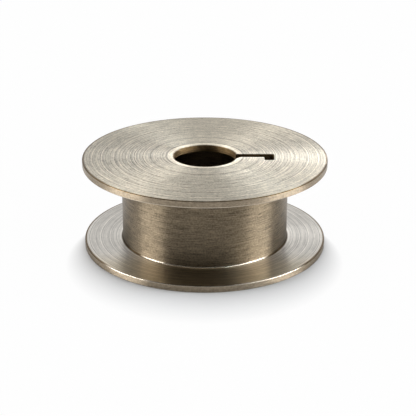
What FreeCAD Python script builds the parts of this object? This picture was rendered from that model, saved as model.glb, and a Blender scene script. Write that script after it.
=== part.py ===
"""Sewing machine bobbin, turned in one piece from steel.

A hollow core joins two thin flanges. A web closes each end of the core and is
bored for the spindle. The upper web also has a thread slot: it runs from the
bore towards the core wall, flares on one side where it meets the bore and ends
in a small eye that reaches out to the same side.

Millimetres, +Z up, origin on the bore axis in the plane of the lower face.
"""
import FreeCAD, Part
import os
import Sketcher

NODE = "bobbin"
NEAR = 1e-4
ZERO = "0"

SIZES = (
    ("flange_diameter", 25.0, "outside diameter of both flanges"),
    ("overall_height", 9.4, "lower face to upper face"),
    ("flange_thickness", 0.7, "each flange, and the web inside the core"),
    ("core_diameter", 17.1, "surface the thread is wound on"),
    ("core_wall", 1.0, "wall of the hollow core"),
    ("bore_diameter", 6.4, "running hole for the spindle"),
    ("foot_round", 0.15, "round where the core meets a flange"),
    ("recess_round", 0.3, "round in the corners of the hollow"),
    ("rim_round", 0.08, "round on the edges of a flange rim"),
    ("bore_round", 0.2, "round at each end of the bore"),
    ("slot_break", 0.07, "chamfer along the edges of the slot"),
    ("slot_width", 0.85, "thread slot"),
    ("slot_end_land", 0.5, "web left between the eye and the core wall"),
    ("flare_reach", 0.4, "how far past the bore the flare of the slot starts"),
    ("flare_side", 0.9, "how far the flare opens to one side"),
    ("flare_round", 0.4, "round where the flare meets the slot"),
    ("eye_length", 1.0, "wide end of the slot, along the slot"),
    ("eye_step", 0.85, "how far the eye reaches out to one side"),
    ("eye_round", 0.15, "round in the corners of the eye"),
)

PLACES = (
    ("flange_radius", "sizes.flange_diameter / 2"),
    ("core_radius", "sizes.core_diameter / 2"),
    ("recess_radius", "sizes.core_diameter / 2 - sizes.core_wall"),
    ("bore_radius", "sizes.bore_diameter / 2"),
    ("lower_inside", "sizes.flange_thickness"),
    ("upper_inside", "sizes.overall_height - sizes.flange_thickness"),
    ("upper_face", "sizes.overall_height"),
    ("slot_far", "sizes.slot_width / 2"),
    ("slot_near", "-sizes.slot_width / 2"),
    ("slot_end", "sizes.core_diameter / 2 - sizes.core_wall - sizes.slot_end_land"),
    ("eye_start", "slot_end - sizes.eye_length"),
    ("eye_near", "slot_near - sizes.eye_step"),
    ("flare_start", "bore_radius + sizes.flare_reach"),
    ("flare_inner", "flare_start - sizes.flare_side"),
    ("flare_near", "slot_near - sizes.flare_side"),
)


def add_sizes(doc):
    """The driving dimensions, one row each."""
    sheet = doc.addObject("Spreadsheet::Sheet", "sizes")
    for row, (alias, value, meaning) in enumerate(SIZES, start=1):
        sheet.set(f"A{row}", meaning)
        sheet.set(f"B{row}", str(value))
        sheet.setAlias(f"B{row}", alias)
    doc.recompute()


def add_places(doc):
    """Radii and heights worked out from the driving dimensions."""
    places = doc.addObject("App::VarSet", "places")
    for name, expression in PLACES:
        places.addProperty("App::PropertyFloat", name)
        places.setExpression(name, expression)
    doc.recompute()
    return places


def add_sketch(body, name, role):
    """A sketch on one of the body's own origin planes."""
    sketch = body.newObject("Sketcher::SketchObject", name)
    for plane in body.Origin.OriginFeatures:
        if plane.Role == role:
            sketch.AttachmentSupport = (plane, [""])
    sketch.MapMode = "FlatFace"
    return sketch


def place(places, name):
    """The number a named place stands for."""
    return 0.0 if name == ZERO else getattr(places, name)


def add_outline(sketch, places, corners):
    """A closed outline through corners given as pairs of named places.

    A coordinate shared with the corner before is held by a level or upright
    line, and one that changes is dimensioned from the sketch origin.
    """
    count = len(corners)
    points = [FreeCAD.Vector(place(places, x), place(places, y), 0) for x, y in corners]
    for index in range(count):
        after = (index + 1) % count
        sketch.addGeometry(Part.LineSegment(points[index], points[after]), False)
    for index in range(count):
        after = (index + 1) % count
        sketch.addConstraint(Sketcher.Constraint("Coincident", index, 2, after, 1))
        if corners[index][1] == corners[after][1]:
            sketch.addConstraint(Sketcher.Constraint("Horizontal", index))
        if corners[index][0] == corners[after][0]:
            sketch.addConstraint(Sketcher.Constraint("Vertical", index))
    for index in range(count):
        for axis, now, before in zip("XY", corners[index], corners[index - 1]):
            if now != before:
                add_dimension(sketch, places, axis, index, now)


def add_dimension(sketch, places, axis, line, name):
    """Tie the start of a line to the sketch origin along one axis."""
    if name == ZERO:
        level = {"X": -2, "Y": -1}[axis]
        sketch.addConstraint(Sketcher.Constraint("PointOnObject", line, 1, level))
        return
    distance = place(places, name)
    ends = (-1, 1, line, 1) if distance > 0 else (line, 1, -1, 1)
    sign = "" if distance > 0 else "-"
    number = sketch.addConstraint(Sketcher.Constraint(f"Distance{axis}", *ends, abs(distance)))
    label = f"corner_{line}_{axis.lower()}"
    sketch.renameConstraint(number, label)
    sketch.setExpression(f"Constraints.{label}", f"{sign}places.{name}")


def ring_edges(shape, radius, heights):
    """Full circles about the axis with a given radius, at given heights."""
    names = []
    for number, edge in enumerate(shape.Edges, start=1):
        curve = edge.Curve
        if not isinstance(curve, Part.Circle) or not edge.isClosed():
            continue
        if abs(curve.Radius - radius) > NEAR:
            continue
        if any(abs(curve.Center.z - height) < NEAR for height in heights):
            names.append(f"Edge{number}")
    return names


def upright_edges(shape, spots):
    """Edges along Z that stand on one of the given (x, y) spots."""
    names = []
    for number, edge in enumerate(shape.Edges, start=1):
        first = edge.Vertexes[0].Point
        last = edge.Vertexes[-1].Point
        if abs(first.z - last.z) < NEAR:
            continue
        for x, y in spots:
            ends_off = [abs(end.x - x) + abs(end.y - y) for end in (first, last)]
            if max(ends_off) < NEAR:
                names.append(f"Edge{number}")
    return names


def slot_edges(shape, height, reach):
    """Edges of the slot in the flat face at a height, outside the bore round."""
    names = []
    for number, edge in enumerate(shape.Edges, start=1):
        box = edge.BoundBox
        if abs(box.ZMin - height) > NEAR or abs(box.ZMax - height) > NEAR:
            continue
        middle = edge.valueAt((edge.FirstParameter + edge.LastParameter) / 2)
        out = (middle.x ** 2 + middle.y ** 2) ** 0.5
        if reach + NEAR < out and middle.x > 0 and not edge.isClosed():
            names.append(f"Edge{number}")
    return names


def add_edge_feature(doc, body, kind, name, edges, size_name, expression):
    """Round or chamfer named edges of the body as it stands."""
    base = body.Tip
    feature = body.newObject(kind, name)
    feature.Base = (base, edges)
    feature.setExpression(size_name, expression)
    body.Tip = feature
    doc.recompute()


def add_turning(doc, body, places):
    """The section of both flanges, the core and the webs, turned about Z."""
    section = add_sketch(body, "section", "XZ_Plane")
    add_outline(section, places, (
        ("bore_radius", ZERO),
        ("flange_radius", ZERO),
        ("flange_radius", "lower_inside"),
        ("core_radius", "lower_inside"),
        ("core_radius", "upper_inside"),
        ("flange_radius", "upper_inside"),
        ("flange_radius", "upper_face"),
        ("bore_radius", "upper_face"),
        ("bore_radius", "upper_inside"),
        ("recess_radius", "upper_inside"),
        ("recess_radius", "lower_inside"),
        ("bore_radius", "lower_inside"),
    ))
    doc.recompute()
    turning = body.newObject("PartDesign::Revolution", "turning")
    turning.Profile = section
    turning.ReferenceAxis = (section, ["V_Axis"])
    turning.Angle = 360.0
    body.Tip = turning
    doc.recompute()


def add_turned_edges(doc, body, places):
    """Rounds at the core's feet, in the hollow, on the rims and at the bore's ends."""
    inside = [places.lower_inside, places.upper_inside]
    outside = [0.0, places.upper_face]
    feet = ring_edges(body.Tip.Shape, places.core_radius, inside)
    add_edge_feature(doc, body, "PartDesign::Fillet", "core_feet", feet,
                     "Radius", "sizes.foot_round")
    hollow = ring_edges(body.Tip.Shape, places.recess_radius, inside)
    add_edge_feature(doc, body, "PartDesign::Fillet", "recess_corners", hollow,
                     "Radius", "sizes.recess_round")
    rims = ring_edges(body.Tip.Shape, places.flange_radius, inside + outside)
    add_edge_feature(doc, body, "PartDesign::Fillet", "rim_edges", rims,
                     "Radius", "min(sizes.rim_round; sizes.flange_thickness / 3)")
    bore = ring_edges(body.Tip.Shape, places.bore_radius, outside)
    add_edge_feature(doc, body, "PartDesign::Fillet", "bore_ends", bore,
                     "Radius", "min(sizes.bore_round; sizes.flange_thickness / 3)")


def add_slot(doc, body, places):
    """The thread slot with its flare and eye, through the upper web only."""
    plan = add_sketch(body, "slot_plan", "XY_Plane")
    plan.setExpression(".AttachmentOffset.Base.z", "places.upper_face")
    doc.recompute()
    add_outline(plan, places, (
        (ZERO, "slot_far"),
        (ZERO, "flare_near"),
        ("flare_inner", "flare_near"),
        ("flare_start", "slot_near"),
        ("eye_start", "slot_near"),
        ("eye_start", "eye_near"),
        ("slot_end", "eye_near"),
        ("slot_end", "slot_far"),
    ))
    doc.recompute()
    volume = body.Tip.Shape.Volume
    slot = body.newObject("PartDesign::Pocket", "thread_slot")
    slot.Profile = plan
    slot.setExpression("Length", "sizes.flange_thickness + sizes.slot_width")
    body.Tip = slot
    doc.recompute()
    if slot.Shape.Volume > volume - NEAR:
        raise RuntimeError("the thread slot cuts nothing")


def add_slot_edges(doc, body, places):
    """Rounds in the plan of the slot, and its chamfer in the upper face."""
    flare = upright_edges(body.Tip.Shape, [(places.flare_start, places.slot_near)])
    add_edge_feature(doc, body, "PartDesign::Fillet", "flare_corner", flare,
                     "Radius", "sizes.flare_round")
    eye = upright_edges(body.Tip.Shape, [
        (places.eye_start, places.eye_near),
        (places.slot_end, places.eye_near),
        (places.slot_end, places.slot_far),
    ])
    add_edge_feature(doc, body, "PartDesign::Fillet", "eye_corners", eye,
                     "Radius", "sizes.eye_round")
    mouth = places.bore_radius + body.getObject("bore_ends").Radius.Value
    edges = slot_edges(body.Tip.Shape, places.upper_face, mouth)
    add_edge_feature(doc, body, "PartDesign::Chamfer", "slot_chamfer", edges,
                     "Size", "sizes.slot_break")


def check(doc, body):
    """Stop before writing when an object failed or the solid is not sound."""
    for thing in doc.Objects:
        if "Invalid" in thing.State or "Error" in thing.State:
            raise RuntimeError(f"{thing.Name} is {thing.State}")
    shape = body.Shape
    if shape.isNull() or not shape.isValid() or len(shape.Solids) != 1:
        raise RuntimeError("the bobbin is not one sound solid")


def main():
    doc = FreeCAD.newDocument(NODE)
    add_sizes(doc)
    places = add_places(doc)
    body = doc.addObject("PartDesign::Body", NODE)
    body.Label = NODE
    add_turning(doc, body, places)
    add_turned_edges(doc, body, places)
    add_slot(doc, body, places)
    add_slot_edges(doc, body, places)
    check(doc, body)
    os.makedirs("parts", exist_ok=True)
    body.Shape.exportStep(f"parts/{body.Label}.step")
    box = body.Shape.optimalBoundingBox(False)
    print(f"{NODE}: {box.XLength:.3f} x {box.YLength:.3f} x {box.ZLength:.3f} mm,",
          f"{body.Shape.Volume:.1f} mm3")


main()
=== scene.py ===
"""A turned steel sewing machine bobbin on a plain white table, in soft studio light."""
import math

import bmesh
import bpy
from mathutils import Matrix, Vector


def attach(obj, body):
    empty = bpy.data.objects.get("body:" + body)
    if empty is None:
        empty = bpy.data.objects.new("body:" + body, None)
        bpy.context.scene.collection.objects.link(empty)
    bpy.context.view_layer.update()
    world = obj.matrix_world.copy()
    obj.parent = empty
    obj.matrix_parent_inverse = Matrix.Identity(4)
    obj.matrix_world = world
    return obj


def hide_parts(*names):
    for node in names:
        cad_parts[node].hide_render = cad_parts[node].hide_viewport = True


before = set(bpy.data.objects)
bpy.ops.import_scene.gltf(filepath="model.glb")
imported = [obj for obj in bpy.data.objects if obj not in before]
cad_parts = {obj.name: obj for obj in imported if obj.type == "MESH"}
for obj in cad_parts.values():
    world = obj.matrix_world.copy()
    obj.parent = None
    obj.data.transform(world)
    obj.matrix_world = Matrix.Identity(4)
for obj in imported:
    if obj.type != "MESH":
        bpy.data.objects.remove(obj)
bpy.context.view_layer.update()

MM = 0.001

# Sizes of the bobbin in millimetres, the same as the solid's.
FLANGE_RADIUS = 12.5
HEIGHT = 9.4
FLANGE_THICKNESS = 0.7
CORE_RADIUS = 8.55
RECESS_RADIUS = 7.55
BORE_RADIUS = 3.2
FOOT_ROUND = 0.15
RECESS_ROUND = 0.3
RIM_ROUND = 0.08
BORE_ROUND = 0.2
SLOT_HALF = 0.425
SLOT_END = 7.05
SLOT_ROUND = 0.07
FLARE_START = 3.6
FLARE_SIDE = 0.9
FLARE_ROUND = 0.4
EYE_LENGTH = 1.0
EYE_STEP = 0.85
EYE_ROUND = 0.15
EYE_NEAR_ROUND = 0.03
HALF = HEIGHT / 2
INNER_FACE = HEIGHT - FLANGE_THICKNESS

# The turned mesh: facets round the axis, and the depth of its tool marks in millimetres.
FACETS = 180
MARK_DEPTH = 0.002
MARKS_PER_METRE = 3400.0
MARKS_AROUND = 0.6
MERGE_DISTANCE = 1e-7
SHARP_DEGREES = 32

# Tones of the bare metal. The faces are as the tool left them; the core, the bore and the rims are darker,
# partly their turned finish and partly painted shade.
FACE_TONE = (0.455, 0.416, 0.342, 1)
# The flanges' inner faces: paler and cooler behind the core, painted light.
FLANGE_FRONT_TONE = (0.46, 0.405, 0.315, 1)
FLANGE_LIT_BEHIND_TONE = (0.53, 0.505, 0.465, 1)
CORE_TONE_AND_SHADE = (0.21, 0.168, 0.115, 1)
# The foot's round: a painted highlight in front, brightest in the middle, and painted shade at the sides and
# back.
FOOT_HIGHLIGHT_TONE = (0.55, 0.495, 0.41, 1)
FOOT_SHADE_TONE = (0.11, 0.075, 0.040, 1)
BORE_TONE_AND_SHADE = (0.23, 0.155, 0.075, 1)
RIM_TONE_AND_SHADE = (0.345, 0.282, 0.205, 1)
# The rims' rounded corners: a painted highlight in front and painted shade at the sides and back.
CORNER_HIGHLIGHT_TONE = (0.58, 0.52, 0.43, 1)
CORNER_SHADE_TONE = (0.15, 0.105, 0.058, 1)
# A painted shade line on the upper flange's top outer edge.
UPPER_EDGE_SHADE_TONE = (0.13, 0.086, 0.038, 1)
# A painted shade line just inside the flanges' outer edge, at the sides and back.
EDGE_SHADE_LINE_TONE = (0.14, 0.089, 0.040, 1)
# The slot's walls: painted shade. Its top edges: a painted highlight.
SLOT_WALL_SHADE_TONE = (0.08, 0.056, 0.028, 1)
SLOT_EDGE_HIGHLIGHT_TONE = (0.75, 0.71, 0.64, 1)

# How much something shows over the bobbin: a base value, then the share that each zone adds.
RINGS_SHOW = (0.0, {"flat": 1.0, "shoulder": 0.8, "core": 0.2})
SCRATCHES_SHOW = (0.0, {"flat": 1.1, "shoulder": 0.6, "core": 0.3, "rim": 0.5})
GRAIN_SHOWS = (1.2, {"shoulder": -0.9, "rim": -0.2, "corner": -0.9, "foot": -0.9})
BRUSHING_SHOWS = (0.0, {"core": 1.6})
# Paleness by zone: a painted highlight on the far and right sides of the faces, round the bore's lip, beside
# the slot and on the foot; a ring of painted shade past the lip.
PALENESS_AND_PAINTED_LIGHT = (1.0, {"near_bore": 0.14, "far_side_highlight": 0.10, "right_side_highlight": 0.14, "lip_highlight": 0.55, "slot_side_highlight": 0.35,
                  "foot_ring_highlight": 0.25, "foot_middle_highlight": 0.8, "groove_shade": -0.25})
ROUGHNESS = (0.42, {"shoulder": -0.10, "shoulder_front": -0.035, "corner_front": -0.20,
                    "foot_front": -0.20, "bore": 0.28})
RING_ROUGHNESS = (0.10, {"shoulder": -0.08})
SCRATCH_ROUGHNESS = (0.0, {"flat": 0.08})
RELIEF = (0.2, {"flat": 1.0, "shoulder": -0.16, "corner": -0.2, "foot": -0.2})
RELIEF_DEPTH = 0.04

# The table, in millimetres: a painted shadow, where the white gives way to the lamp-lit grey table, that ends
# on a circle shifted to the front.
TABLE_HALF = 1500
TABLE_GREY = (0.55, 0.55, 0.55, 1)
SHADOW_START = 12.4
SHADOW_RADIUS = 14.0
SHADOW_FRONT = 4.7
SHADOW_FADE = 0.65
MIRRORED_START = 14.4
SEEN_WHITE = 0.98

# Brightness of the room, in front and what it gains behind.
ROOM_LEVEL = 0.05
ROOM_BEHIND = 0.06

# Lamps: azimuth from the camera's side, elevation, width and height in degrees, level, colour.
PLAIN_LIGHT = (1, 1, 1)
COOL_LIGHT = (0.84, 0.92, 1.0)
FAR_DISTANCE = 400
FAR_LAMPS = [
    ("left_strip", -74, 7, 36, 13, 11.5, PLAIN_LIGHT),
    ("right_strip", 78, 7, 38, 13, 10.5, PLAIN_LIGHT),
    ("left_tall", -100, 31, 46, 22, 2.7, PLAIN_LIGHT),
    ("right_tall", 75, 31, 46, 22, 3.3, PLAIN_LIGHT),
    ("left_high", -107, 54, 50, 22, 1.1, PLAIN_LIGHT),
    ("right_high", 78, 54, 46, 22, 2.6, COOL_LIGHT),
    ("back_left", -150, 52, 18, 22, 2.0, PLAIN_LIGHT),
    ("back_panel", 180, 30, 44, 60, 0.87, PLAIN_LIGHT),
    ("top_panel", 180, 75, 40, 22, 1.8, PLAIN_LIGHT),
]

# Narrow lamps close to the upper face: azimuth, elevation, level, the spot they face, colour.
NEAR_DISTANCE = 80
NEAR_WIDE = 24
NEAR_TALL = 9
NEAR_SPREAD = 12
NEAR_LAMPS = [
    ("near_left", -150, 30, 0.06, (-7, -5, 10.5), PLAIN_LIGHT),
    ("near_right", 100, 35, 0.26, (6, -7, 10.5), COOL_LIGHT),
    ("near_back", 140, 30, 0.14, (9, -4, 10.5), PLAIN_LIGHT),
    ("near_low", 165, 15, 0.085, (9, 0, 10.5), PLAIN_LIGHT),
]

# The photograph's viewpoint, fitted to the ellipses of the flanges.
CAMERA_RISE = 22.577
CAMERA_ROLL = 0.003
CAMERA_AIM = (0.334, 0, 3.570)
CAMERA_DISTANCE = 9.5 * FLANGE_RADIUS
CAMERA_NEAREST = 0.01
FOCAL_PIXELS = 1140.4
PHOTO_PIXELS = 416
SENSOR_WIDTH = 36


class Value:
    """One socket of a node tree; arithmetic on it adds Math nodes."""

    def __init__(self, tree, socket):
        self.tree = tree
        self.socket = socket

    def math(self, operation, *others):
        """A Math node on this value, and on any others after it."""
        return add_node(self.tree, "ShaderNodeMath", {"operation": operation}, (self, *others))

    def math_after(self, operation, first):
        """A Math node on another value first, and then on this one."""
        return add_node(self.tree, "ShaderNodeMath", {"operation": operation}, (first, self))

    def __add__(self, other):
        return self.math("ADD", other)

    def __radd__(self, other):
        return self.math_after("ADD", other)

    def __sub__(self, other):
        return self.math("SUBTRACT", other)

    def __rsub__(self, other):
        return self.math_after("SUBTRACT", other)

    def __mul__(self, other):
        return self.math("MULTIPLY", other)

    def __rmul__(self, other):
        return self.math_after("MULTIPLY", other)

    def __truediv__(self, other):
        return self.math("DIVIDE", other)

    def __rtruediv__(self, other):
        return self.math_after("DIVIDE", other)

    def __pow__(self, other):
        return self.math("POWER", other)

    def __rpow__(self, other):
        return self.math_after("POWER", other)

    def __mod__(self, other):
        return self.math("FLOORED_MODULO", other)

    def __rmod__(self, other):
        return self.math_after("FLOORED_MODULO", other)

    def __abs__(self):
        return self.math("ABSOLUTE")

    def __floor__(self):
        return self.math("FLOOR")

    def out(self, name):
        """Another output of the same node."""
        return Value(self.tree, self.socket.node.outputs[name])


def add_node(tree, kind, settings=None, inputs=None, output=0):
    """Add a node: its settings first, then the values or links of its sockets."""
    node = tree.nodes.new(kind)
    for name, setting in (settings or {}).items():
        setattr(node, name, setting)
    named = inputs.items() if isinstance(inputs, dict) else enumerate(inputs or ())
    for name, value in named:
        socket = node.inputs[name]
        if isinstance(value, Value):
            tree.links.new(value.socket, socket)
        else:
            socket.default_value = value
    return Value(tree, node.outputs[output]) if len(node.outputs) else node


def split_vector(vector):
    """A vector taken apart: its outputs are X, Y and Z."""
    return add_node(vector.tree, "ShaderNodeSeparateXYZ", None, [vector])


def joined_vector(tree, x, y, z):
    return add_node(tree, "ShaderNodeCombineXYZ", None, [x, y, z])


def clamped(value):
    """A value held between 0 and 1."""
    return add_node(value.tree, "ShaderNodeClamp", None, [value])


def step_between(value, low, high):
    """0 below low, 1 above high, smooth between."""
    return add_node(value.tree, "ShaderNodeMapRange", {"interpolation_type": "SMOOTHSTEP"},
                    {"Value": value, "From Min": low, "From Max": high})


def fade_between(value, low, high):
    """1 below low, 0 above high, smooth between."""
    return 1 - step_between(value, low, high)


def colour_mix(tree, share, first, second, blend="MIX"):
    return add_node(tree, "ShaderNodeMix", {"data_type": "RGBA", "blend_type": blend},
                    {0: share, 6: first, 7: second}, output=2)


def line(start, end, step):
    """Points along a straight run, without its last one."""
    start = Vector(start)
    end = Vector(end)
    count = max(1, round((end - start).length / step))
    return [start.lerp(end, index / count) for index in range(count)]


def arc(centre, radius, first, last, count):
    """Points along an arc in degrees, without its last one."""
    points = []
    for index in range(count):
        angle = math.radians(first + (last - first) * index / count)
        points.append(Vector((centre[0] + radius * math.cos(angle),
                              centre[1] + radius * math.sin(angle))))
    return points


def bobbin_section():
    """The turned section as radius and height, from the lower bore edge outwards.

    Each point carries how strongly tool marks show there.
    """
    faced = 1.0
    brushed = 0.6
    edged = 0.5
    finer = 0.3
    plain = 0.0
    top = HEIGHT
    ledge = FLANGE_THICKNESS
    outer = FLANGE_RADIUS
    rim = FLANGE_RADIUS - RIM_ROUND
    foot = CORE_RADIUS + FOOT_ROUND
    mouth = BORE_RADIUS + BORE_ROUND
    recess = RECESS_RADIUS - RECESS_ROUND
    core_low = ledge + FOOT_ROUND
    core_high = INNER_FACE - FOOT_ROUND
    recess_low = ledge + RECESS_ROUND
    recess_high = INNER_FACE - RECESS_ROUND
    runs = [
        (faced, line((mouth, 0), (rim, 0), 0.12)),
        (plain, arc((rim, RIM_ROUND), RIM_ROUND, -90, 0, 6)),
        (edged, line((outer, RIM_ROUND), (outer, ledge - RIM_ROUND), 0.08)),
        (plain, arc((rim, ledge - RIM_ROUND), RIM_ROUND, 0, 90, 6)),
        (finer, line((rim, ledge), (foot, ledge), 0.08)),
        (plain, arc((foot, core_low), FOOT_ROUND, 270, 180, 8)),
        (brushed, line((CORE_RADIUS, core_low), (CORE_RADIUS, core_high), 0.1)),
        (plain, arc((foot, core_high), FOOT_ROUND, 180, 90, 8)),
        (finer, line((foot, INNER_FACE), (rim, INNER_FACE), 0.12)),
        (plain, arc((rim, INNER_FACE + RIM_ROUND), RIM_ROUND, -90, 0, 6)),
        (edged, line((outer, INNER_FACE + RIM_ROUND), (outer, top - RIM_ROUND), 0.08)),
        (plain, arc((rim, top - RIM_ROUND), RIM_ROUND, 0, 90, 6)),
        (faced, line((rim, top), (mouth, top), 0.06)),
        (plain, arc((mouth, top - BORE_ROUND), BORE_ROUND, 90, 180, 6)),
        (edged, line((BORE_RADIUS, top - BORE_ROUND), (BORE_RADIUS, INNER_FACE), 0.1)),
        (plain, line((BORE_RADIUS, INNER_FACE), (recess, INNER_FACE), 0.6)),
        (plain, arc((recess, recess_high), RECESS_ROUND, 90, 0, 4)),
        (plain, line((RECESS_RADIUS, recess_high), (RECESS_RADIUS, recess_low), 1.5)),
        (plain, arc((recess, recess_low), RECESS_ROUND, 0, -90, 4)),
        (plain, line((recess, ledge), (BORE_RADIUS, ledge), 0.6)),
        (edged, line((BORE_RADIUS, ledge), (BORE_RADIUS, BORE_ROUND), 0.1)),
        (plain, arc((mouth, BORE_ROUND), BORE_ROUND, 180, 270, 6)),
    ]
    return [(point, marks) for marks, points in runs for point in points]


def linked_object(name, data):
    thing = bpy.data.objects.new(name, data)
    bpy.context.collection.objects.link(thing)
    return thing


def section_object(section):
    """The section as loose points, each with its outward direction and its marks."""
    count = len(section)
    mesh = bpy.data.meshes.new("bobbin_section")
    mesh.from_pydata([(point.x * MM, 0, point.y * MM) for point, _ in section], [], [])
    mesh.attributes.new("outward", "FLOAT_VECTOR", "POINT")
    mesh.attributes.new("marks", "FLOAT", "POINT")
    for index, (_, strength) in enumerate(section):
        before = section[index - 1][0]
        after = section[(index + 1) % count][0]
        along = (after - before).normalized()
        mesh.attributes["outward"].data[index].vector = (along.y, 0, -along.x)
        mesh.attributes["marks"].data[index].value = strength
    return linked_object("bobbin_section", mesh)


def rounded_outline(corners, steps=6):
    """A closed plan through corners given as (x, y, round), arcs at the rounds."""
    points = []
    count = len(corners)
    for index, (x, y, size) in enumerate(corners):
        here = Vector((x, y))
        if size == 0:
            points.append(here)
            continue
        before = (Vector(corners[index - 1][:2]) - here).normalized()
        after = (Vector(corners[(index + 1) % count][:2]) - here).normalized()
        half = before.angle(after) / 2
        reach = size / math.tan(half)
        centre = here + (before + after).normalized() * (size / math.sin(half))
        start = here + before * reach - centre
        end = here + after * reach - centre
        turn = start.angle_signed(end)
        for step in range(steps + 1):
            points.append(centre + Matrix.Rotation(-turn * step / steps, 2) @ start)
    return points


def widened(points, amount):
    """A clockwise or anticlockwise plan moved outwards by an amount."""
    sharpest = 0.3
    count = len(points)
    area = sum(points[i - 1].x * points[i].y - points[i].x * points[i - 1].y for i in range(count))
    side = 1 if area > 0 else -1
    moved = []
    for index, here in enumerate(points):
        along_in = (here - points[index - 1]).normalized()
        along_out = (points[(index + 1) % count] - here).normalized()
        normal_in = Vector((along_in.y, -along_in.x)) * side
        normal_out = Vector((along_out.y, -along_out.x)) * side
        middle = (normal_in + normal_out).normalized()
        moved.append(here + middle * (amount / max(sharpest, middle.dot(normal_in))))
    return moved


def slot_cutter():
    """The space of the thread slot, flare and eye, opening out at the upper face."""
    below = 0.8
    above = 0.5
    near = -SLOT_HALF
    eye_start = SLOT_END - EYE_LENGTH
    plan = rounded_outline([
        (0, SLOT_HALF, 0),
        (0, near - FLARE_SIDE, 0),
        (FLARE_START - FLARE_SIDE, near - FLARE_SIDE, 0),
        (FLARE_START, near, FLARE_ROUND),
        (eye_start, near, EYE_NEAR_ROUND),
        (eye_start, near - EYE_STEP, EYE_ROUND),
        (SLOT_END, near - EYE_STEP, EYE_ROUND),
        (SLOT_END, SLOT_HALF, EYE_ROUND),
    ])
    levels = [(INNER_FACE - below, 0)]
    for degrees in (0, 22.5, 45, 67.5):
        angle = math.radians(degrees)
        levels.append((HEIGHT - SLOT_ROUND + SLOT_ROUND * math.sin(angle),
                       SLOT_ROUND * (1 - math.cos(angle))))
    levels.append((HEIGHT, SLOT_ROUND))
    levels.append((HEIGHT + above, SLOT_ROUND))
    cutter = bmesh.new()
    rings = []
    for height, amount in levels:
        ring = [cutter.verts.new((p.x * MM, p.y * MM, height * MM)) for p in widened(plan, amount)]
        rings.append(ring)
    for lower, upper in zip(rings, rings[1:]):
        for index in range(len(plan)):
            cutter.faces.new((lower[index - 1], lower[index], upper[index], upper[index - 1]))
    cutter.faces.new(rings[0])
    cutter.faces.new(rings[-1])
    bmesh.ops.recalc_face_normals(cutter, faces=cutter.faces)
    mesh = bpy.data.meshes.new("slot_cutter")
    cutter.to_mesh(mesh)
    cutter.free()
    return linked_object("slot_cutter", mesh)


def turning_tree():
    """Turns the section about the axis, scores the tool marks and cuts the slot."""
    tree = bpy.data.node_groups.new("turned_bobbin", "GeometryNodeTree")
    for name, kind in (("Section", "Geometry"), ("Facets", "Int"), ("Points", "Int"), ("Mark Depth", "Float"),
                       ("Mark Scale", "Float"), ("Cutter", "Object"), ("Finish", "Material")):
        tree.interface.new_socket(name, in_out="INPUT", socket_type="NodeSocket" + kind)
    tree.interface.new_socket("Bobbin", in_out="OUTPUT", socket_type="NodeSocketGeometry")

    given = add_node(tree, "NodeGroupInput")
    facets = given.out("Facets")
    points = given.out("Points")
    grid = add_node(tree, "GeometryNodeMeshGrid", None, {
        "Size X": points, "Size Y": facets, "Vertices X": points + 1, "Vertices Y": facets + 1})
    place = split_vector(add_node(tree, "GeometryNodeInputPosition"))
    number = math.floor(place.out("X") + points / 2 + 0.25) % points
    turn = (place.out("Y") / facets + 0.5) * math.tau

    def sampled(kind, value):
        """A value of the section's point that this place on the grid stands for."""
        return add_node(tree, "GeometryNodeSampleIndex", {"data_type": kind, "domain": "POINT"},
                        {"Geometry": given, "Value": value, "Index": number})

    def named(kind, name):
        return add_node(tree, "GeometryNodeInputNamedAttribute", {"data_type": kind}, {"Name": name})

    spot = split_vector(sampled("FLOAT_VECTOR", add_node(tree, "GeometryNodeInputPosition")))
    outward = split_vector(sampled("FLOAT_VECTOR", named("FLOAT_VECTOR", "outward")))
    marks = sampled("FLOAT", named("FLOAT", "marks"))
    cosine = turn.math("COSINE")
    sine = turn.math("SINE")
    along = (spot.out("X") + spot.out("Z")) * given.out("Mark Scale")
    score = add_node(tree, "ShaderNodeTexNoise", {"noise_dimensions": "3D"}, {
        "Vector": joined_vector(tree, along, cosine * MARKS_AROUND, sine * MARKS_AROUND),
        "Scale": 1.0, "Detail": 2.0, "Roughness": 0.6})
    depth = score * marks * given.out("Mark Depth")
    radius = spot.out("X") - outward.out("X") * depth
    height = spot.out("Z") - outward.out("Z") * depth
    turned = add_node(tree, "GeometryNodeSetPosition", None, {
        "Geometry": grid, "Position": joined_vector(tree, radius * cosine, radius * sine, height)})
    closed = add_node(tree, "GeometryNodeMergeByDistance", None,
                      {"Geometry": turned, "Distance": MERGE_DISTANCE})
    cutter = add_node(tree, "GeometryNodeObjectInfo", {"transform_space": "ORIGINAL"},
                      {"Object": given.out("Cutter")}).out("Geometry")
    slotted = add_node(tree, "GeometryNodeMeshBoolean", {"operation": "DIFFERENCE", "solver": "MANIFOLD"},
                       {"Mesh 1": closed, "Mesh 2": cutter})
    smooth = add_node(tree, "GeometryNodeSetShadeSmooth", None, {"Geometry": slotted})
    real = add_node(tree, "GeometryNodeRealizeInstances", None, {"Geometry": smooth})
    finished = add_node(tree, "GeometryNodeSetMaterial", None,
                        {"Geometry": real, "Material": given.out("Finish")})
    add_node(tree, "NodeGroupOutput", None, [finished])
    return tree


def set_input(modifier, name, value):
    """Set a modifier's input by its socket's identifier."""
    for item in modifier.node_group.interface.items_tree:
        if item.item_type == "SOCKET" and item.in_out == "INPUT" and item.name == name:
            modifier[item.identifier] = value


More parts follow.
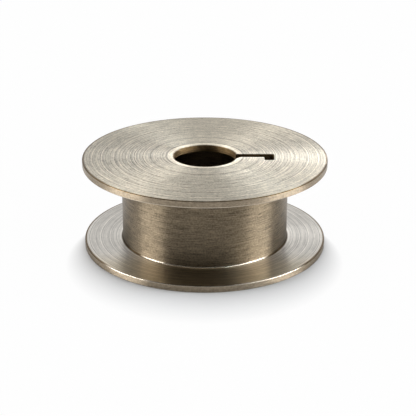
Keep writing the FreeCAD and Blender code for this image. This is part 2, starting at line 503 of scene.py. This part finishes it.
def bobbin_body(finish):
    """The bobbin as one plain mesh."""
    section = bobbin_section()
    source = section_object(section)
    cutter = slot_cutter()
    modifier = source.modifiers.new("turning", "NODES")
    modifier.node_group = turning_tree()
    set_input(modifier, "Facets", FACETS)
    set_input(modifier, "Points", len(section))
    set_input(modifier, "Mark Depth", MARK_DEPTH * MM)
    set_input(modifier, "Mark Scale", MARKS_PER_METRE)
    set_input(modifier, "Cutter", cutter)
    set_input(modifier, "Finish", finish)
    graph = bpy.context.evaluated_depsgraph_get()
    mesh = bpy.data.meshes.new_from_object(source.evaluated_get(graph))
    bpy.data.objects.remove(source)
    bpy.data.objects.remove(cutter)
    shape = bmesh.new()
    shape.from_mesh(mesh)
    bmesh.ops.remove_doubles(shape, verts=shape.verts, dist=MERGE_DISTANCE)
    bmesh.ops.recalc_face_normals(shape, faces=shape.faces)
    if shape.calc_volume(signed=True) < 0:
        bmesh.ops.reverse_faces(shape, faces=shape.faces)
    shape.to_mesh(mesh)
    shape.free()
    mesh.set_sharp_from_angle(angle=math.radians(SHARP_DEGREES))
    mesh.name = "bobbin_body"
    return linked_object("bobbin_body", mesh)


def new_material(name):
    material = bpy.data.materials.new(name)
    material.use_nodes = True
    material.node_tree.nodes.clear()
    return material, material.node_tree


def object_place(tree):
    """X, Y and Z on the piece in millimetres, and the distance from its axis."""
    spot = split_vector(add_node(tree, "ShaderNodeTexCoord").out("Object"))
    x, y, z = (spot.out(axis) * (1 / MM) for axis in "XYZ")
    return x, y, z, (x * x + y * y) ** 0.5


def bobbin_zones(x, y, z, radius):
    """Where each zone of the bobbin is, as values from 0 to 1 over its surface."""
    ledge = HALF - FLANGE_THICKNESS
    from_middle = abs(z - HALF)
    inside = fade_between(from_middle, ledge + 0.01, ledge + 0.06)
    off_core = step_between(radius, CORE_RADIUS + 0.03, CORE_RADIUS + 0.12)
    rim = step_between(radius, FLANGE_RADIUS - 0.09, FLANGE_RADIUS - 0.06)
    core = inside * (1 - off_core)
    shoulder = inside * off_core * (1 - rim)
    face = 1 - clamped(core + shoulder)
    flat = face * (1 - rim)
    from_rim_middle = abs(from_middle - HALF + FLANGE_THICKNESS / 2)
    corner = rim * step_between(from_rim_middle, 0.25, 0.29)
    foot = step_between(from_middle, ledge - 0.16, ledge - 0.10) * inside \
        * fade_between(radius, CORE_RADIUS + 0.11, CORE_RADIUS + 0.17)

    # The slot: its straight walls and eye, the flare, and what lies below the upper face. Its walls get
    # painted shade, and its top edges and a strip of the face beside it get a painted highlight.
    straight = step_between(x, 2.80, 2.90) * fade_between(abs(y), SLOT_HALF + 0.05, SLOT_HALF + 0.08)
    off_flare = abs(x - y - (FLARE_START + SLOT_HALF))
    flare = fade_between(off_flare, 0.07, 0.11) * step_between(y, -1.10, -1.00) \
        * fade_between(y, -0.42, -0.38)
    off_bore = step_between(radius, BORE_RADIUS + 0.22, BORE_RADIUS + 0.26)
    at_slot = straight.math("MAXIMUM", flare).math("MAXIMUM", off_bore)
    below_face = flat * at_slot * fade_between(from_middle, HALF - 0.010, HALF - 0.005)
    slot_edge = below_face * step_between(from_middle, HALF - 0.09, HALF - 0.06) * fade_between(y, -0.1, 0.1)
    slot_wall = below_face * (1 - slot_edge)
    slot_side_highlight = step_between(x, 3.7, 3.9) * fade_between(x, 6.0, 6.1) * step_between(z, HALF, HEIGHT) \
        * step_between(y, -0.80, -0.70) * fade_between(y, -0.48, -0.44) * face

    # Rings round the bore, the foot and the outer edge: a painted highlight on the bore's lip and a ring of
    # painted shade past it, a painted highlight beside the foot at the sides and back, and a painted shade
    # line just inside the outer edge.
    lip_highlight = step_between(radius, BORE_RADIUS + 0.05, BORE_RADIUS + 0.15) \
        * fade_between(radius, BORE_RADIUS + 0.45, BORE_RADIUS + 0.65) * face * (1 - slot_wall)
    groove_shade = step_between(radius, BORE_RADIUS + 0.60, BORE_RADIUS + 0.70) \
        * fade_between(radius, BORE_RADIUS + 0.76, BORE_RADIUS + 0.86) * face
    rim_before = fade_between(y, -8.6, -7.2)
    foot_before = fade_between(y, -6.8, -5.4)
    behind = step_between(y, -8.5, -4.0)
    edge_shade_line = step_between(radius, FLANGE_RADIUS - 0.22, FLANGE_RADIUS - 0.14) * (1 - rim) \
        * (1 - rim_before) * step_between(z, FLANGE_THICKNESS - 0.02, FLANGE_THICKNESS - 0.01)
    foot_ring_highlight = step_between(radius, CORE_RADIUS + 0.15, CORE_RADIUS + 0.20) \
        * fade_between(radius, CORE_RADIUS + 0.32, CORE_RADIUS + 0.42) * shoulder * (1 - foot_before)
    return {
        "core": core,
        "shoulder": shoulder,
        "shoulder_front": shoulder * (1 - behind),
        "flat": flat,
        "rim": rim,
        "rim_before": rim_before,
        "corner": corner,
        "corner_front": corner * rim_before,
        "upper_edge_shade": corner * step_between(z, HEIGHT - 0.13, HEIGHT - 0.09),
        "edge_shade_line": edge_shade_line,
        "foot": foot,
        "foot_before": foot_before,
        "foot_front": foot * foot_before,
        "foot_middle_highlight": foot * foot_before * fade_between(abs(x), 2.0, 6.0),
        "foot_ring_highlight": foot_ring_highlight,
        "bore": fade_between(radius, BORE_RADIUS + 0.02, BORE_RADIUS + 0.12),
        "lip_highlight": lip_highlight,
        "groove_shade": groove_shade,
        "slot_edge": slot_edge,
        "slot_wall": slot_wall,
        "slot_side_highlight": slot_side_highlight,
        "near_bore": face * fade_between(radius, 4.2, 7.6),
        # Painted highlights on the flat faces: at the far side and at the right front.
        "far_side_highlight": flat * step_between(y / radius, 0.86, 0.98),
        "right_side_highlight": flat * step_between((x * 0.87 - y * 0.50) / radius, 0.60, 0.95),
        "behind": behind,
    }


def bobbin_tone(tree, zones):
    """The metal's tone, zone over zone, with painted highlights and painted shade in some zones."""
    flange_tone_lit_behind = colour_mix(tree, zones["behind"], FLANGE_FRONT_TONE, FLANGE_LIT_BEHIND_TONE)
    foot_highlight_and_shade = colour_mix(tree, zones["foot_before"], FOOT_SHADE_TONE, FOOT_HIGHLIGHT_TONE)
    corner_highlight_and_shade = colour_mix(tree, zones["rim_before"], CORNER_SHADE_TONE, CORNER_HIGHLIGHT_TONE)
    layers = [
        ("shoulder", flange_tone_lit_behind),
        ("core", CORE_TONE_AND_SHADE),
        ("foot", foot_highlight_and_shade),
        ("bore", BORE_TONE_AND_SHADE),
        ("rim", RIM_TONE_AND_SHADE),
        ("corner", corner_highlight_and_shade),
        ("upper_edge_shade", UPPER_EDGE_SHADE_TONE),
        ("edge_shade_line", EDGE_SHADE_LINE_TONE),
        ("slot_wall", SLOT_WALL_SHADE_TONE),
        ("slot_edge", SLOT_EDGE_HIGHLIGHT_TONE),
    ]
    tone = FACE_TONE
    for name, layer in layers:
        tone = colour_mix(tree, zones[name], tone, layer)
    return tone


def turned_steel():
    """Bare turned metal: ring-shaped tool marks, paler where it was faced, with painted highlights and
    painted shade over some zones.
    """
    material, tree = new_material("bobbin_metal_and_painted_light")
    x, y, z, radius = object_place(tree)
    along = radius + z
    zones = bobbin_zones(x, y, z, radius)

    def shown(amounts):
        """A base value, with each zone's share added."""
        total, shares = amounts
        for name, share in shares.items():
            total = zones[name] * share + total
        return total

    def lines(per_mm, detail, seed):
        """Lines that run all the way round the axis."""
        return add_node(tree, "ShaderNodeTexNoise", {"noise_dimensions": "1D"},
                        {"W": along * per_mm + seed, "Scale": 1.0, "Detail": detail, "Roughness": 0.7}) - 0.5

    def arcs(per_mm, spread, detail, seed):
        """Lines that run only part of the way round the axis."""
        where = joined_vector(tree, along * per_mm + seed, x / radius * spread, y / radius * spread)
        return add_node(tree, "ShaderNodeTexNoise", {"noise_dimensions": "3D"},
                        {"Vector": where, "Scale": 1.0, "Detail": detail, "Roughness": 0.6}) - 0.5

    turning = lines(per_mm=2.6, detail=2.0, seed=4.2)
    feed = lines(per_mm=9.0, detail=0.0, seed=17.9)
    worn = arcs(per_mm=1.2, spread=1.4, detail=1.0, seed=3.7) + 0.5
    scratches = arcs(per_mm=3.5, spread=7.0, detail=2.0, seed=11.3)
    brushing = arcs(per_mm=14.0, spread=5.0, detail=1.0, seed=41.7)
    grain = arcs(per_mm=6.5, spread=50.0, detail=1.0, seed=29.1)
    wave = lines(per_mm=0.9, detail=0.0, seed=7.7)
    grooves = fade_between(abs(wave), 0.008, 0.03)
    rings = turning * (0.4 + worn) * 0.85 + feed * 1.2 - grooves * worn * 0.35

    marks = rings * shown(RINGS_SHOW) + scratches * shown(SCRATCHES_SHOW) \
        + grain * shown(GRAIN_SHOWS) + brushing * shown(BRUSHING_SHOWS)
    streak = marks + shown(PALENESS_AND_PAINTED_LIGHT)
    shade = joined_vector(tree, streak, streak, streak)
    base = colour_mix(tree, 1.0, bobbin_tone(tree, zones), shade, "MULTIPLY")
    roughness = shown(ROUGHNESS) + turning * shown(RING_ROUGHNESS) \
        + (scratches + grain) * shown(SCRATCH_ROUGHNESS)
    height = (turning * 0.5 + feed * 0.3 + scratches * 0.3 + grain * 0.25) * shown(RELIEF)
    bump = add_node(tree, "ShaderNodeBump", None,
                    {"Strength": 1.0, "Distance": RELIEF_DEPTH * MM, "Height": height})
    surface = add_node(tree, "ShaderNodeBsdfPrincipled", None, {
        "Base Color": base, "Metallic": 1.0, "Roughness": roughness, "Normal": bump,
        "Anisotropic": 0.9, "Anisotropic Rotation": 0.25})
    add_node(tree, "ShaderNodeOutputMaterial", None, {"Surface": surface})
    return material


def table_white():
    """A white table top: seen as white, except in a painted shadow round the bobbin, where the grey table
    shows the shadow that the lamps leave on it.
    """
    material, tree = new_material("table_white")
    path = add_node(tree, "ShaderNodeLightPath")
    x, y, _, radius = object_place(tree)
    front = y + SHADOW_FRONT
    from_bobbin = (radius - SHADOW_START).math("MAXIMUM", 0)
    to_light = (SHADOW_RADIUS - (x * x + front * front) ** 0.5).math("MAXIMUM", 0)
    # 0 in the painted shadow round the bobbin, rising to 1 where the table is seen white.
    clear = (from_bobbin / (from_bobbin + to_light + 0.001)) ** SHADOW_FADE
    beside = step_between(radius, SHADOW_START, MIRRORED_START)
    mirrored = clamped(path.out("Is Glossy Ray") + path.out("Is Transmission Ray"))
    share = path.out("Is Camera Ray") * clear + mirrored * beside
    lit = add_node(tree, "ShaderNodeBsdfDiffuse", None, {"Color": TABLE_GREY})
    white = add_node(tree, "ShaderNodeEmission", None, {"Color": (1, 1, 1, 1), "Strength": 1.0})
    surface = add_node(tree, "ShaderNodeMixShader", None, [share * SEEN_WHITE, lit, white])
    add_node(tree, "ShaderNodeOutputMaterial", None, {"Surface": surface})
    return material


def table_top():
    half = TABLE_HALF * MM
    mesh = bpy.data.meshes.new("table_top")
    corners = [(-half, -half, 0), (half, -half, 0), (half, half, 0), (-half, half, 0)]
    mesh.from_pydata(corners, [], [(0, 1, 2, 3)])
    mesh.materials.append(table_white())
    linked_object("table_top", mesh)


def studio_dome():
    """A dim room, a little lighter behind, whose wall is white where it meets the table."""
    world = bpy.data.worlds.new("studio_dome")
    bpy.context.scene.world = world
    world.use_nodes = True
    tree = world.node_tree
    tree.nodes.clear()
    way = split_vector(add_node(tree, "ShaderNodeTexCoord").out("Generated"))
    behind = step_between(way.out("Y"), -0.2, 0.3)
    low = fade_between(way.out("Z"), 0.01, 0.04)
    path = add_node(tree, "ShaderNodeLightPath")
    mirrored = path.out("Is Glossy Ray") + path.out("Is Transmission Ray")
    white = clamped(path.out("Is Camera Ray") + mirrored * low)
    level = white + (1 - white) * (behind * ROOM_BEHIND + ROOM_LEVEL)
    sky = add_node(tree, "ShaderNodeBackground", None, {"Color": (1, 1, 1, 1), "Strength": level})
    add_node(tree, "ShaderNodeOutputWorld", None, {"Surface": sky})


def softbox(name, azimuth, elevation, wide, tall, level, colour, distance=FAR_DISTANCE, aim=(0, 0, HALF),
            spread=180):
    """A rectangular lamp facing a spot on the bobbin."""
    lamp = bpy.data.lights.new(name, "AREA")
    lamp.shape = "RECTANGLE"
    lamp.size = 2 * distance * MM * math.tan(math.radians(wide / 2))
    lamp.size_y = 2 * distance * MM * math.tan(math.radians(tall / 2))
    lamp.energy = level * math.pi * lamp.size * lamp.size_y
    lamp.spread = math.radians(spread)
    lamp.color = colour
    turn = math.radians(azimuth)
    rise = math.radians(elevation)
    away = Vector((math.sin(turn) * math.cos(rise), -math.cos(turn) * math.cos(rise), math.sin(rise)))
    thing = linked_object(name, lamp)
    thing.location = (Vector(aim) + away * distance) * MM
    thing.rotation_euler = away.to_track_quat("Z", "Y").to_euler()


def studio_lamps():
    for name, azimuth, elevation, wide, tall, level, colour in FAR_LAMPS:
        softbox(name, azimuth, elevation, wide, tall, level, colour)
    for name, azimuth, elevation, level, aim, colour in NEAR_LAMPS:
        softbox(name, azimuth, elevation, NEAR_WIDE, NEAR_TALL, level, colour,
                distance=NEAR_DISTANCE, aim=aim, spread=NEAR_SPREAD)


def photo_camera():
    """A camera at the photograph's viewpoint."""
    rise = math.radians(CAMERA_RISE)
    forward = Vector((0, math.cos(rise), -math.sin(rise)))
    right = Vector((1, 0, 0))
    up = right.cross(forward)
    level = right * math.cos(CAMERA_ROLL) + up * math.sin(CAMERA_ROLL)
    upright = up * math.cos(CAMERA_ROLL) - right * math.sin(CAMERA_ROLL)
    lens = bpy.data.cameras.new("photo_camera")
    lens.sensor_width = SENSOR_WIDTH
    lens.lens = FOCAL_PIXELS / PHOTO_PIXELS * SENSOR_WIDTH
    lens.clip_start = CAMERA_NEAREST
    camera = linked_object("photo_camera", lens)
    turned = Matrix((level, upright, -forward)).transposed().to_4x4()
    place = (Vector(CAMERA_AIM) - forward * CAMERA_DISTANCE) * MM
    camera.matrix_world = Matrix.Translation(place) @ turned
    bpy.context.scene.camera = camera


bpy.context.scene.view_settings.view_transform = "Standard"
body = bobbin_body(turned_steel())
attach(body, "root")
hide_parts("bobbin")
table_top()
studio_dome()
studio_lamps()
photo_camera()
